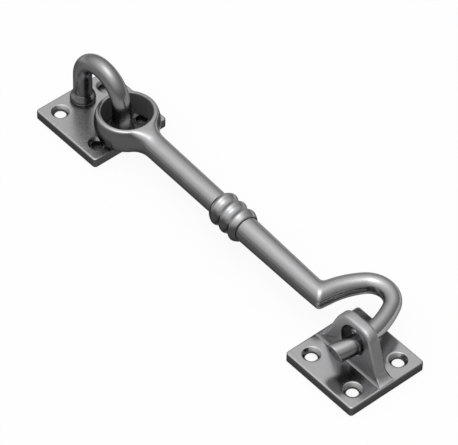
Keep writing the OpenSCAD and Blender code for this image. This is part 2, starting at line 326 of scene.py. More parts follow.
def put_piece(name, patches, body, part, node):
    """A smooth piece with sharp edges and its finish, which rides on its body and replaces a node of the solids."""
    mesh = new_mesh(name, patches)
    mesh.shade_smooth()
    mesh.set_sharp_from_angle(angle=SHARP)
    mesh.materials.append(satin_metal(part))
    piece = bpy.data.objects.new(name, mesh)
    bpy.context.scene.collection.objects.link(piece)
    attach(piece, body)
    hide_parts(node)


def ease(t):
    """A smooth step from 0 to 1: t^2 (3 - 2 t), with t held between 0 and 1."""
    t = np.clip(t, 0, 1)
    return t**2 * (3 - 2 * t)


def raised(flat, z):
    """Flat points, put at height z."""
    return np.concatenate([flat, np.full(flat.shape[:-1] + (1,), z)], axis=-1)


def round_corner(start, stop, steps):
    """Cosine and sine of angles from start to stop, in degrees, as two arrays."""
    a = np.radians(np.linspace(start, stop, steps))
    return np.cos(a), np.sin(a)


def ring_angles(sides):
    """Angles of the points of a closed ring."""
    return np.linspace(0, 2 * np.pi, sides, endpoint=False)


def turned(profile, a):
    """A profile of (radius, height) rows turned about Z to the angles a: x = r cos a, y = r sin a, z = h."""
    r, h = np.asarray(profile, float).T[..., None]
    return np.stack([r * np.cos(a), r * np.sin(a), h + 0 * a], axis=-1)


def tenon_profile(plate, staple):
    """Radius and height of a riveted tenon, from the middle of its head up to the plate's top."""
    head = staple.rivet / 2
    under = plate.height - plate.skin
    low = under - staple.rivet_height
    c, s = round_corner(-90, 0, 8)
    dome = np.stack([head - RIVET_ROUND + RIVET_ROUND * c, low + RIVET_ROUND + RIVET_ROUND * s], axis=1)
    rest = [[head, under], [staple.tenon / 2, under], [staple.tenon / 2, plate.height]]
    return np.concatenate([[[0, low]], dome, rest])


def foot_profile(plate, staple):
    """Radius and height of a staple's foot: an elliptic rise to its widest, then a cosine sweep in to the bar."""
    wide, bar, middle, top = staple.foot / 2, staple.bar / 2, staple.foot_widest, staple.foot_height
    c, s = round_corner(-90, 0, 9)
    rise = np.stack([wide + FOOT_SWELL * (c - 1), middle * (1 + s)], axis=1)
    h = np.linspace(middle, top, 17)[1:]
    sweep = np.stack([bar + (wide - bar) * np.cos(np.pi / 2 * (h - middle) / (top - middle)) ** 2, h], axis=1)
    return np.concatenate([rise, sweep]) + [0, plate.height]


def staple_surface(plate, staple):
    """A round section carried up one leg, round the bow in the XZ plane and down the other leg."""
    spring = plate.height + staple.leg
    leg = np.concatenate([tenon_profile(plate, staple), foot_profile(plate, staple)])
    shaft = np.linspace(leg[-1, 1], spring, 8)[1:]
    leg = np.concatenate([leg, np.stack([np.full_like(shaft, staple.bar / 2), shaft], axis=1)])
    turn = np.radians(np.linspace(0, 180, 61))[1:-1]
    half = staple.span / 2
    zeros, ones = np.zeros(len(leg)), np.ones(len(leg))
    z = np.concatenate([leg[:, 1], spring + half * np.sin(turn), leg[::-1, 1]])[:, None]
    out_x = np.concatenate([ones, np.cos(turn), -ones])[:, None]
    out_z = np.concatenate([zeros, np.sin(turn), zeros])[:, None]
    r = np.concatenate([leg[:, 0], np.full(len(turn), staple.bar / 2), leg[::-1, 0]])[:, None]
    a = ring_angles(64)
    across = r * np.cos(a)
    x = staple.offset + half * out_x + across * out_x
    return [patch(np.stack([x, r * np.sin(a), z + across * out_z], axis=-1))]


def square_edge(half, corner, along):
    """Points of a quarter of a rounded square, from the middle of one side round the corner to the next side.

    along is the straight part as shares from 0 to 1; the corner is an arc about its own centre.
    """
    straight = half - corner
    c, s = round_corner(0, 90, 11)
    side = np.stack([np.full_like(along, half), straight * along], axis=1)
    arc = np.stack([straight + corner * c[1:-1], straight + corner * s[1:-1]], axis=1)
    return np.concatenate([side, arc, side[::-1, ::-1]])


def plate_surface(plate):
    """Each quarter is a fan from its screw hole to its edge; the rim is a profile carried along the edge."""
    half, height, recess = plate.side / 2, plate.height, plate.height - plate.skin
    along = np.linspace(0, 1, 17)
    middle = np.array([plate.screw_pitch / 2, plate.screw_pitch / 2])

    def edge_loop(inset):
        """The plate's outline, drawn in by inset."""
        return square_edge(half - inset, plate.corner - min(inset, plate.corner - LEAST_CORNER), along)

    def fan(edge, ring, z, rows):
        """Straight rows from a quarter's edge to a ring about its hole, and the directions of the ring's points."""
        inner = np.linspace(0, 1, 13)[1:, None]
        loop = np.concatenate([edge, edge[-1] * (1 - inner), edge[0] * inner[:-1]])
        away = loop - middle
        away = away / np.linalg.norm(away, axis=1, keepdims=True)
        t = np.linspace(0, 1, rows)[:, None, None]
        return raised(loop * (1 - t) + (middle + ring * away) * t, z), away

    c, s = round_corner(0, 90, 7)
    bevel = [(plate.bevel * (1 - k), height - plate.bevel * (1 - m)) for k, m in zip(c[::-1], s[::-1])]
    foot = [(PLATE_FOOT * (1 - k), PLATE_FOOT * (1 - m)) for k, m in zip(c, s)]
    recess_edge = square_edge(half - plate.rim, plate.corner, along)
    outside = [raised(edge_loop(inset), z) for inset, z in bevel + foot]
    rim = np.stack(outside + [raised(recess_edge, z) for z in (0, recess)])

    sink, hole = plate.sink / 2, plate.screw / 2
    cone = height - (sink - hole)
    top, away = fan(edge_loop(plate.bevel), sink + SINK_EDGE[0][0], height, 12)
    under, away_under = fan(recess_edge, hole, recess, 8)
    wall = [(sink + out, height - down) for out, down in SINK_EDGE]
    wall += [(hole + HOLE_EDGE, cone + HOLE_EDGE), (hole, cone - HOLE_EDGE)]
    bore = np.stack([raised(middle + r * away, z) for r, z in wall])
    low = np.stack([raised(middle + hole * away, cone - HOLE_EDGE), raised(middle + hole * away_under, recess)])
    patches = []
    for sx, sy in ((1, 1), (-1, 1), (-1, -1), (1, -1)):
        flip = np.array([sx, sy, 1])
        patches += [patch(grid * flip) for grid in (top, under, bore, low)]
        patches.append(patch(rim * flip, close_columns=False))
    return patches


def press_flat(z, half, power=10):
    """Height pressed to a flat face: z / (1 + |z / half| ^ power) ^ (1 / power)."""
    return z / (1 + np.abs(z / half) ** power) ** (1 / power)


def to_rest(patches, arm):
    """Patches built along the arm's own axes, turned and carried to the arm's place at rest."""
    turn = np.array(Matrix.Rotation(arm.yaw, 3, "Z") @ Matrix.Rotation(-arm.pitch, 3, "Y"))
    place = np.array([arm.eye_x, arm.eye_y, arm.eye_z])
    return [(points @ turn.T + place, faces) for points, faces in patches]


def half_collar(arm):
    """Half the length of the collar."""
    return BEADS / 2 * arm.bead_pitch


def eye_surface(arm):
    """A ball turned about both axes and pressed flat, bored through, with a blend to a tapering shank.

    Round the eye: x = R cos b cos f, y = R cos b sin f, z = pressed R sin b.
    Along the neck and shank: y = r(x) cos q, z = pressed r(x - lag) sin q, with r the ball, the blend circle or the
    taper. The lag grows to neck_reach over the blend, so the flat top reaches farther than the sides.
    """
    ball, half, bore = arm.ball / 2, arm.eye_height / 2, arm.bore / 2
    start, end = arm.shank_start / 2, arm.shank_end / 2
    collar_start = arm.collar - half_collar(arm)
    neck_y = start + arm.neck
    neck_x = np.sqrt((ball + arm.neck) ** 2 - neck_y**2)
    touch_x = neck_x * ball / (ball + arm.neck)

    def radius_at(x):
        """The radius r at x."""
        on_ball = np.sqrt(np.maximum(ball**2 - x**2, 0))
        on_neck = neck_y - np.sqrt(np.maximum(arm.neck**2 - (neck_x - x) ** 2, 0))
        on_shank = start + (end - start) * (x - neck_x) / (collar_start - neck_x)
        return np.where(x < touch_x, on_ball, np.where(x < neck_x, on_neck, on_shank))

    def height_at(x, q):
        """The height z at x and q."""
        lag = arm.neck_reach * ease((x - touch_x) / (neck_x - touch_x))
        return press_flat(radius_at(x - lag) * np.sin(q), half)

    flat_r = bore + EYE_FLAT
    lift = np.arccos(flat_r / ball)
    b = np.linspace(-lift, lift, 65)
    f_front = np.linspace(EYE_FRONT, -EYE_FRONT, 49)
    f_back = np.linspace(EYE_FRONT, 2 * np.pi - EYE_FRONT, 111)
    wall = turned(np.stack([ball * np.cos(b), press_flat(ball * np.sin(b), half)], axis=1), f_back)

    side_x, side_y = ball * np.cos(b) * np.cos(EYE_FRONT), ball * np.cos(b) * np.sin(EYE_FRONT)
    side_q = np.arctan2(ball * np.sin(b), side_y)
    arc_x, arc_y = flat_r * np.cos(f_front), flat_r * np.sin(f_front)
    arc_q = np.arccos(arc_y / radius_at(arc_x))
    x0 = np.concatenate([side_x, arc_x[1:-1], side_x[::-1], arc_x[::-1][1:-1]])
    q = np.concatenate([side_q, arc_q[1:-1], np.pi - side_q[::-1], -arc_q[::-1][1:-1]])
    t = np.linspace(0, 1, 41)[:, None]
    x = x0 + (neck_x - x0) * t
    shank_x = np.linspace(neck_x, collar_start, 25)[1:, None] + 0 * x0
    x = np.concatenate([x, shank_x])
    neck = np.stack([x, radius_at(x) * np.cos(q), height_at(x, q)], axis=-1)
    spigot_end = arm.collar - arm.spigot_gap
    spigot = np.array([[collar_start, arm.spigot / 2], [spigot_end, arm.spigot / 2], [spigot_end, 0]])
    end_rows = np.stack([spigot[:, :1] + 0 * q, spigot[:, 1:] * np.cos(q), spigot[:, 1:] * np.sin(q)], axis=-1)
    neck = np.concatenate([neck, end_rows])

    f_all = np.concatenate([f_front[::-1], f_back[1:-1]])
    c, s = round_corner(90, 180, 7)
    lip = np.stack([bore + EDGE_ROUND + EDGE_ROUND * c, half - EDGE_ROUND + EDGE_ROUND * s], axis=1)
    upper = np.concatenate([[[flat_r, half], [bore + EDGE_ROUND + EYE_LIP, half]], lip])
    depth = np.linspace(half - EDGE_ROUND, -half + EDGE_ROUND, 9)[1:-1]
    loop = np.concatenate([upper, np.stack([np.full_like(depth, bore), depth], axis=1), upper[::-1] * [1, -1]])
    inside = turned(loop, f_all)
    inside[0, len(f_front):, 2] = wall[-1, 1:-1, 2]
    inside[0, : len(f_front), 2] = height_at(arc_x, arc_q)
    inside[-1, :, 2] = -inside[0, :, 2]
    return to_rest([patch(wall, close_columns=False), patch(neck), patch(inside)], arm)


def collar_surface(arm):
    """Beads turned about the arm's axis, with r = valley + (crest - valley) cos(pi x / pitch) ^ 3, over a bore.

    Towards each end r falls to the shank as a quarter of an ellipse. The beads lean, less and less towards the ends.
    """
    half = half_collar(arm)
    x = half * np.sin(np.linspace(-np.pi / 2, np.pi / 2, 181))
    crest, valley = arm.bead / 2, arm.bead_valley / 2
    r = valley + (crest - valley) * np.abs(np.cos(np.pi * x / arm.bead_pitch)) ** 3
    into_end = np.clip((np.abs(x) - half + arm.bead_end) / arm.bead_end, 0, 1)
    shank = np.where(x < 0, arm.shank_end, arm.hook_shank) / 2
    r = shank + (r - shank) * np.sqrt(1 - into_end**2)
    bore = arm.spigot / 2 + arm.spigot_gap
    rows = np.concatenate([[[bore, -half]], np.stack([r, x], axis=1), [[bore, half]]])
    grid = turned(rows, ring_angles(80))
    along, y, z = grid[..., 2], grid[..., 1], -grid[..., 0]
    to_side = y * np.cos(arm.bead_side) + z * np.sin(arm.bead_side)
    lean = -np.tan(arm.bead_lean) * to_side * (1 - np.abs(along / half) ** 6)
    points = np.stack([arm.collar + along + lean, y, z], axis=-1)
    return to_rest([patch(points, close_rows=True)], arm)


def arc_end(p, start, stop, r):
    """Where a clockwise arc of radius r that sets out from p ends, for arrays of end headings."""
    return np.stack([p[0] + r * (np.sin(start) - np.sin(stop)), p[1] + r * (np.cos(stop) - np.cos(start))], axis=-1)


def hook_surface(arm, hook):
    """A round section carried along the shank, a mitred elbow and three arcs in the arm's own plane.

    Each lengthwise line is rounded over the mitre by a quadratic curve towards its own corner point. Near the tip the
    points slide along the bar, up to the slant and the overhang of the tip's end.
    """
    a = ring_angles(72)
    towards, up = np.cos(a), np.sin(a)
    collar_end = arm.collar + half_collar(arm)

    def rings(p, heading, r, inner=1.0, outer=1.0):
        """Rings of radius r square to the headings, stretched towards the inner and the outer side."""
        p, heading, r = np.atleast_2d(p), np.atleast_1d(heading)[:, None], np.atleast_1d(r)[:, None]
        side = r * towards * np.where(towards > 0, inner, outer)
        return np.stack(
            [p[:, :1] - side * np.sin(heading), p[:, 1:] + side * np.cos(heading), r * up + 0 * side], axis=-1
        )

    elbow_r, back_r, tip_r, spigot_r = hook.elbow / 2, hook.back_start / 2, hook.tip / 2, arm.spigot / 2
    lead = hook.elbow_x - elbow_r * np.tan(hook.heading / 2) - ELBOW_LEAD
    straight = np.linspace(collar_end, lead, 25)
    inside = arm.collar + arm.spigot_gap
    shank_x = np.concatenate([[inside, inside, collar_end], straight])
    shank_r = np.concatenate([[0, spigot_r, spigot_r], np.linspace(arm.hook_shank / 2, elbow_r, 25)])
    shank = rings(np.stack([shank_x, 0 * shank_x], axis=1), 0 * shank_x, shank_r)

    elbow_point = np.array([hook.elbow_x, 0.0])
    h1 = hook.heading - hook.rise_sweep
    h2 = h1 - hook.bend_sweep
    h3 = h2 - hook.back_sweep
    rise_len, bend_len = hook.rise * hook.rise_sweep, hook.bend * hook.bend_sweep
    bend_r0 = elbow_r + (back_r - elbow_r) * rise_len / (rise_len + bend_len)
    heads = np.linspace(hook.heading, h1, 31)
    rise_p = arc_end(elbow_point, hook.heading, heads, hook.rise)
    rise_r = np.linspace(elbow_r, bend_r0, 31)
    clear = rise_p[:, 1] > elbow_r
    rise = rings(rise_p[clear], heads[clear], rise_r[clear])
    heads = np.linspace(h1, h2, 61)[1:]
    bend_p = arc_end(rise_p[-1], h1, heads, hook.bend)
    bend = rings(bend_p, heads, np.linspace(bend_r0, back_r, 61)[1:])
    heads = np.linspace(h2, h3, 61)[1:]
    back_p = arc_end(bend_p[-1], h2, heads, hook.back)
    c, s = round_corner(0, 90, 7)
    ahead = np.array([np.cos(h3), np.sin(h3), 0])
    tip_p = back_p[-1] - ahead[:2] * (EDGE_ROUND * (1 - s))[:, None]
    back_p = np.concatenate([back_p[:-1], tip_p, back_p[-1:]])
    back_r = np.concatenate([np.linspace(back_r, tip_r, 61)[1:-1], tip_r - EDGE_ROUND + EDGE_ROUND * c, [0]])
    back = rings(back_p, np.concatenate([heads[:-1], np.full(len(tip_p) + 1, h3)]), back_r)
    to_end = np.linalg.norm(back_p - back_p[-1], axis=1)
    slant = np.tan(hook.overhang) * up - np.tan(hook.slant) * towards
    slanted = np.clip(1 - to_end / hook.slant_run, 0, 1)[:, None] * back_r[:, None] * slant
    back = back + slanted[..., None] * ahead

    mitre = 1 / np.cos(hook.heading / 2)
    corner = rings(elbow_point, hook.heading / 2, elbow_r, mitre, mitre * hook.sharp)[0]
    before, after = shank[-1] - corner, rise[0] - corner
    before_len = np.linalg.norm(before, axis=1, keepdims=True)
    after_len = np.linalg.norm(after, axis=1, keepdims=True)
    reach = np.minimum(hook.round, ELBOW_SHARE * np.minimum(before_len, after_len))
    p0, p2 = corner + before / before_len * reach, corner + after / after_len * reach
    t = np.linspace(0, 1, 11)[:, None, None]
    elbow = (1 - t) ** 2 * p0 + 2 * t * (1 - t) * corner + t**2 * p2
    return to_rest([patch(np.concatenate([shank, elbow, rise, bend, back]))], arm)


def ear_outline(keep, half_foot):
    """Outline of the upright, anticlockwise from the middle of its foot: (x, height) and edge rounding of each point.

    Each point is a Gaussian mean of its neighbours along the outline, over a width that falls to nothing at the foot.
    """
    lift = keep.height - keep.shoulder
    touch = np.array([keep.shoulder_x + keep.shoulder * np.cos(keep.lean), lift + keep.shoulder * np.sin(keep.lean)])
    blend_x = touch[0] + touch[1] * np.tan(keep.lean) + keep.foot_round * np.tan(np.pi / 4 - keep.lean / 2)
    lowest = np.arcsin((blend_x - half_foot) / keep.foot_round)
    a = np.linspace(lowest, np.pi / 2 - keep.lean, 15)
    blend = np.stack([blend_x - keep.foot_round * np.sin(a), keep.foot_round * (1 - np.cos(a))], axis=1)
    flank = blend[-1] + (touch - blend[-1]) * np.linspace(0, 1, 21)[1:, None]
    a = np.linspace(keep.lean, np.pi / 2, 17)[1:]
    shoulder = np.stack([keep.shoulder_x + keep.shoulder * np.cos(a), lift + keep.shoulder * np.sin(a)], axis=1)
    top = np.stack([np.linspace(keep.shoulder_x, 0, 8)[1:], np.full(7, keep.height)], axis=1)
    foot = np.stack([np.linspace(0, half_foot, 33), np.zeros(33)], axis=1)
    right = np.concatenate([foot, blend, flank, shoulder, top])
    left = right[1:-1][::-1] * [-1, 1]
    outline = np.concatenate([right, left])
    along = np.cumsum(np.linalg.norm(np.diff(outline, axis=0, prepend=outline[:1]), axis=1))
    width = keep.smooth * np.clip((outline[:, 1] - keep.weld_height) / keep.height / SMOOTH_RISE, LEAST_SMOOTH, 1)
    weight = np.exp(-0.5 * ((along[:, None] - along) / width[:, None]) ** 2) * np.gradient(along)
    outline = weight @ outline / weight.sum(axis=1, keepdims=True)
    return outline, keep.edge * ease(outline[:, 1] / keep.weld_height)


def ear_surface(plate, staple, keep):
    """The section from the hole's wall over a face to the outer edge and back, carried round the hole.

    With height the upright thins and leans back, and at its foot the faces spread as (1 - height / weld height) ^ 3.
    """
    outline, rounding = ear_outline(keep, plate.side / 2 - plate.bevel)
    hole = np.array([0, keep.hole_height])
    away = outline - hole
    away = away / np.linalg.norm(away, axis=1, keepdims=True)
    step = np.roll(outline, -1, axis=0) - np.roll(outline, 1, axis=0)
    inward = np.stack([-step[:, 1], step[:, 0]], axis=1) / np.linalg.norm(step, axis=1, keepdims=True)
    hole_r, soft = keep.hole / 2, keep.hole_edge
    c, s = round_corner(180, 90, 6)
    lip = [(hole_r + soft + soft * k, soft * (1 - m)) for k, m in zip(c, s)]
    plan = [hole + r * away for r, _ in lip]
    sunk = [np.full(len(outline), d) for _, d in lip]
    first, last = plan[-1], outline + inward * rounding[:, None]
    t = np.sin(np.linspace(0, np.pi / 2, 29)[1:-1])
    plan += [first + (last - first) * k for k in t]
    sunk += [np.zeros(len(outline))] * len(t)
    c, s = round_corner(90, 0, 6)
    plan += [outline + inward * (rounding * (1 - k))[:, None] for k in c]
    sunk += [rounding * (1 - m) for m in s]
    plan, sunk = np.stack(plan), np.stack(sunk)
    plan = np.concatenate([plan[:1], plan, plan[-1:]])
    height = np.maximum(plan[..., 1], 0)
    half = (keep.foot + (keep.top - keep.foot) * height / keep.height) / 2
    half = half + keep.weld * np.clip(1 - height / keep.weld_height, 0, 1) ** 3
    depth = np.concatenate([0 * half[:1], half[1:-1] - sunk, 0 * half[:1]])
    middle = KEEP_Y + keep.set_back * height / keep.height
    face = np.stack([KEEP_X + plan[..., 0], middle - depth, plate.height + plan[..., 1]], axis=-1)
    back = face[1:-1][::-1].copy()
    back[..., 1] = (middle + depth)[1:-1][::-1]
    patches = [patch(np.concatenate([face, back]), close_rows=True)]
    cover = plate.height + TENON_COVER
    profile = np.concatenate([tenon_profile(plate, staple), [[staple.tenon / 2, cover], [0, cover]]])
    tenon = turned(profile, ring_angles(48))
    for side in (-1, 1):
        patches.append(patch(tenon + [KEEP_X + side * keep.tenon_pitch / 2, KEEP_Y, 0]))
    return patches


# Nodes

COLOUR, FLOAT, VECTOR = "NodeSocketColor", "NodeSocketFloat", "NodeSocketVector"


def feed(tree, socket, value):
    """Links a socket to another one, or sets its value."""
    if isinstance(value, bpy.types.NodeSocket):
        tree.links.new(value, socket)
    else:
        socket.default_value = value


def add_node(tree, kind, inputs, **settings):
    """What a new node gives, with its settings, and a link or a value for each of the given inputs."""
    node = tree.nodes.new(kind)
    for name, value in settings.items():
        setattr(node, name, value)
    for place, value in inputs.items():
        feed(tree, node.inputs[place], value)
    return node.outputs


def number(tree, operation, *values):
    """Result of a Math node."""
    return add_node(tree, "ShaderNodeMath", dict(enumerate(values)), operation=operation)[0]


def vector(tree, operation, *values):
    """Result of a Vector Math node: a number for a length, a distance or a dot product, or else a vector."""
    places = (0, "Scale" if operation == "SCALE" else 1)
    result = "Value" if operation in ("LENGTH", "DISTANCE", "DOT_PRODUCT") else "Vector"
    return add_node(tree, "ShaderNodeVectorMath", dict(zip(places, values)), operation=operation)[result]


def span(tree, value, start, stop, low=0, high=1, way="LINEAR"):
    """Result of a Map Range node: a value from start to stop becomes one from low to high."""
    inputs = {"Value": value, "From Min": start, "From Max": stop, "To Min": low, "To Max": high}
    return add_node(tree, "ShaderNodeMapRange", inputs, interpolation_type=way)[0]


def mix(tree, factor, first, second, kind="FLOAT"):
    """Result of a Mix node: first where factor is 0, and second where it is 1."""
    place, result = (6, 2) if kind == "RGBA" else (2, 0)
    return add_node(tree, "ShaderNodeMix", {0: factor, place: first, place + 1: second}, data_type=kind)[result]


def noise(tree, place, scale, detail, roughness=0.5):
    """Result of a Noise Texture node."""
    inputs = {"Vector": place, "Scale": scale, "Detail": detail, "Roughness": roughness}
    return add_node(tree, "ShaderNodeTexNoise", inputs)[0]


def split(tree, value):
    """The X, Y and Z sockets of a vector."""
    return add_node(tree, "ShaderNodeSeparateXYZ", {0: value})


def new_group(name, takes, gives):
    """A node group's tree, what it takes and what it gives, with the sockets of the given names and kinds."""
    tree = bpy.data.node_groups.new(name, "ShaderNodeTree")
    for way, sockets in (("INPUT", takes), ("OUTPUT", gives)):
        for label, kind in sockets.items():
            tree.interface.new_socket(label, in_out=way, socket_type=kind)
    return tree, tree.nodes.new("NodeGroupInput").outputs, tree.nodes.new("NodeGroupOutput").inputs


# Finishes

# Grain of each finish: how fine it is along X, Y and Z, and how strongly it stands out. Then the painted light on
# flanks that face X: how much lighter their tone is made, and darker where the number is below zero.
GRAIN = {
    "plate": ((900, 900, 900), 0.005, 0.0),
    "keep_plate": ((900, 900, 900), 0.005, 0.0),
    "staple": ((1100, 1100, 1100), 0.012, 0.6),
    "eye": ((220, 1300, 1300), 0.015, 0.0),
    "arm": ((220, 1300, 1300), 0.015, 3.2),
    "collar": ((900, 900, 900), 0.012, 0.0),
    "keep": ((1100, 1100, 1100), 0.012, -0.45),
}
# Depth of the grain, the scale, detail and roughness of its noise, and the span that tint and roughness follow.
GRAIN_DEPTH = 0.3
GRAIN_NOISE = (1, 5, 0.62)
GRAIN_SPAN = (0.3, 0.7)
GRAIN_TINT = (0.965, 1.035)
GRAIN_ROUGHNESS = (-0.02, 0.03)
# Upward share of the normal over which the painted shade of a flank gives way to the polished top, and the noise that
# shifts it.
UNSHADED_SPAN = (0.34, 0.7)
CLOUD_SHIFT = 0.08
CLOUD_NOISE = (160, 4)
# The hook's tip, which lies beyond this place along Y, has this much painted light on the end that faces back along
# Y: its flank tone is made lighter there.
TIP_Y = -10.8
TIP_LIGHT = 1.6
# A place along Y, in metres, that no piece reaches.
NOWHERE = -1.0
# Recess about the eye's axis, darker and duller than the rest of a finish: the dull cast skin of the eye's bore, and
# painted shade on the staple where it stands under the eye. Its radius and height, its tone and its roughness.
RECESS = {"eye": (9.9, 20, 0.16, 0.6), "staple": (9, 11, 0.05, 0.5)}
# Shares of the recess's radius and height at which it begins to fade.
RECESS_FADE = (0.94, 0.7)
# How much less metallic a recess is than the polished metal: the dull cast skin of the eye's bore, and the staple
# under the eye, which is painted shade.
SKIN = 0.8
# Tint of the reflection at a grazing angle.
GRAZING = (0.35, 0.35, 0.36, 1)


def satin_group():
    """Node group of the satin cast finish: the polished tone where it faces up, painted shade on its flanks, with
    fine grain.

    Flanks that face X are made lighter by the side input, or darker where it is below zero, and beyond End Place
    those that face back along Y are made lighter by the end input: painted light.
    """
    name = "satin_cast_finish"
    if name in bpy.data.node_groups:
        return bpy.data.node_groups[name]
    takes = {"Polished": COLOUR, "Flank Shade": COLOUR, "Grain Stretch": VECTOR}
    takes.update(dict.fromkeys(("Side Wear", "End Wear", "End Place", "Roughness"), FLOAT))
    tree, given, result = new_group(name, takes, {"Color": COLOUR, "Roughness": FLOAT, "Height": FLOAT})
    where = add_node(tree, "ShaderNodeTexCoord", {})
    facing = split(tree, where["Normal"])
    cloud = noise(tree, where["Object"], *CLOUD_NOISE)
    grain = noise(tree, vector(tree, "MULTIPLY", where["Object"], given["Grain Stretch"]), *GRAIN_NOISE)
    upward = number(tree, "MULTIPLY_ADD", cloud, CLOUD_SHIFT, facing["Z"])
    unshaded = span(tree, number(tree, "SUBTRACT", upward, CLOUD_SHIFT / 2), *UNSHADED_SPAN, way="SMOOTHSTEP")
    # Painted light: flanks that face X, and the tip's end, are made lighter or darker than the flank tone.
    side = number(tree, "MULTIPLY", span(tree, facing["X"], 0, 1), given["Side Wear"])
    end = number(tree, "MULTIPLY", span(tree, facing["Y"], 0, -1), given["End Wear"])
    before_end = number(tree, "GREATER_THAN", split(tree, where["Object"])["Y"], given["End Place"])
    painted_light = number(tree, "ADD", mix(tree, before_end, end, side), 1)
    # Painted shade: the flank tone, lightened or darkened by the side and end factors, gives way to the polished tone
    # where the surface faces up.
    metal = mix(tree, unshaded, vector(tree, "SCALE", given["Flank Shade"], painted_light), given["Polished"], "RGBA")
    rough = span(tree, grain, *GRAIN_SPAN, *GRAIN_ROUGHNESS)
    feed(tree, result["Color"], vector(tree, "SCALE", metal, span(tree, grain, *GRAIN_SPAN, *GRAIN_TINT)))
    feed(tree, result["Roughness"], number(tree, "ADD", rough, given["Roughness"]))
    feed(tree, result["Height"], grain)
    return tree


def recess_group():
    """Node group that masks what lies within Reach of the eye's axis and below Height."""
    name = "recess_mask"
    if name in bpy.data.node_groups:
        return bpy.data.node_groups[name]
    tree, given, result = new_group(name, {"Reach": FLOAT, "Height": FLOAT}, {"Mask": FLOAT})
    arm = bpy.context.scene.latch_arm
    place = add_node(tree, "ShaderNodeTexCoord", {})["Object"]
    away = vector(tree, "SUBTRACT", place, (arm.eye_x, arm.eye_y, 0))
    far = vector(tree, "LENGTH", vector(tree, "MULTIPLY", away, (1, 1, 0)))
    near = span(tree, number(tree, "DIVIDE", far, given["Reach"]), RECESS_FADE[0], 1, 1, 0)
    below = span(tree, number(tree, "DIVIDE", split(tree, place)["Z"], given["Height"]), RECESS_FADE[1], 1, 1, 0)
    feed(tree, result["Mask"], number(tree, "MULTIPLY", near, below))
    return tree


def satin_metal(part):
    """Material of one kind of piece: satin cast metal in that piece's tones, dull in its recess, where the staple is
    painted in shade.
    """
    name = "satin_" + part
    if name in bpy.data.materials:
        return bpy.data.materials[name]
    finish = bpy.context.scene.latch_finish
    # The grain table's last number is the painted light on flanks that face X.
    stretch, strength, painted_light = GRAIN[part]
    values = {
        "Polished": (*getattr(finish, part + "_polished"), 1),
        "Flank Shade": (*getattr(finish, part + "_flank_shade"), 1),
        "Roughness": getattr(finish, part + "_roughness"),
        "Grain Stretch": stretch,
        "Side Wear": painted_light,
        "End Wear": TIP_LIGHT,
        "End Place": TIP_Y * MM if part == "arm" else NOWHERE,
    }
    material = bpy.data.materials.new(name)
    material.use_nodes = True
    tree = material.node_tree
    shader = tree.nodes["Principled BSDF"].inputs
    effect = add_node(tree, "ShaderNodeGroup", values, node_tree=satin_group())
    colour, rough, metal = effect["Color"], effect["Roughness"], 1
    # In the recess the colour is painted darker: painted shade on the staple under the eye, the dull skin in the
    # eye's bore.
    if part in RECESS:
        reach, height, shade, dull = RECESS[part]
        room = {"Reach": reach * MM, "Height": height * MM}
        mask = add_node(tree, "ShaderNodeGroup", room, node_tree=recess_group())["Mask"]
        colour = mix(tree, mask, colour, (shade, shade, shade, 1), "RGBA")
        rough = mix(tree, mask, rough, dull)
        metal = number(tree, "MULTIPLY_ADD", mask, -SKIN, 1)
    bump = {"Strength": strength, "Distance": GRAIN_DEPTH * MM, "Height": effect["Height"]}
    looks = {
        "Base Color": colour,
        "Roughness": rough,
        "Metallic": metal,
        "Specular Tint": GRAZING,
        "Normal": add_node(tree, "ShaderNodeBump", bump)["Normal"],
    }
    for label, value in looks.items():
        feed(tree, shader[label], value)
    return material


# Stage

# Radius of the floor, and its height, just under the plates.
FLOOR_R = 5000
FLOOR_Z = -0.02
# Places under screw holes that lie in shadow, where the floor's colour is painted darker as painted shade: x, y, and
# the tone of the floor there.
HALF_PITCH = SCREW_PITCH / 2
SHADED = (
    (HALF_PITCH, -HALF_PITCH, 0.06),
    (HALF_PITCH, HALF_PITCH, 0.06),
    (-HALF_PITCH, HALF_PITCH, 0.3),
    (KEEP_X - HALF_PITCH, KEEP_Y + HALF_PITCH, 0.06),
)
# Radii within which such a place is wholly shaded, and outside which it is not.
SHADED_SPAN = (4 * MM, 5.5 * MM)
# The floor counts as open over this span of its share of open sky, which is looked for within this distance.
OPEN_SPAN = (0.3, 0.6)
OPEN_REACH = 12
OPEN_SAMPLES = 8
# Direction of the brightest light, and its level at the sine of each height above that pole's horizon.
SKY_POLE = (0.0, -0.09, 0.996)
SKY = ((0.0, 0.38), (0.34, 0.54), (0.69, 0.86), (0.84, 1.12), (0.93, 1.6), (1.0, 3.1))
# Side from which less light comes, and the span of its cosine over which the light dims.
DIM_SIDE = (0.87, 0.5, 0.0)
DIM_SPAN = (-0.3, 0.9)
# Width of the camera's sensor, in millimetres, and the range that it sees, in metres.
SENSOR = 36
CLIP = (0.01, 20)


